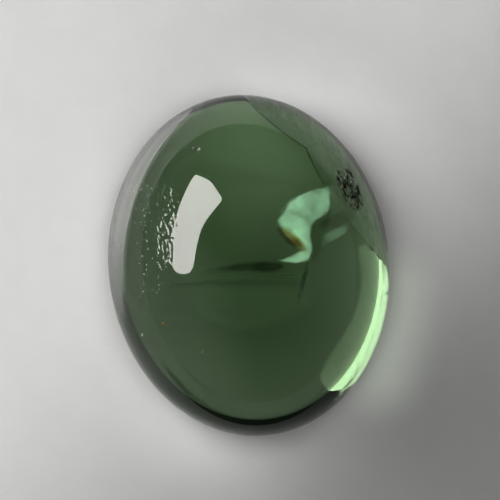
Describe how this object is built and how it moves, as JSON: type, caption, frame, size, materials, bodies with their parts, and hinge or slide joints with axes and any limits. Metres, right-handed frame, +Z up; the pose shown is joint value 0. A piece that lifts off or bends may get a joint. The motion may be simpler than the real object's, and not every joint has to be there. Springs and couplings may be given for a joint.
{
  "type": "green apatite cabochon",
  "caption": "Oval polished green apatite gemstone with a high clear dome and a low rounded back that rests on a small flat spot.",
  "frame": {"origin": "under the middle of the oval, on the small flat spot at the bottom of the back", "axes": "+Z up through the top of the dome, +Y along the oval's long axis, +X along its short axis"},
  "size_m": [0.009, 0.011, 0.0053],
  "materials": {
    "apatite": "polished"
  },
  "bodies": {
    "root": {"apatite_cabochon": "apatite"}
  },
  "joints": []
}
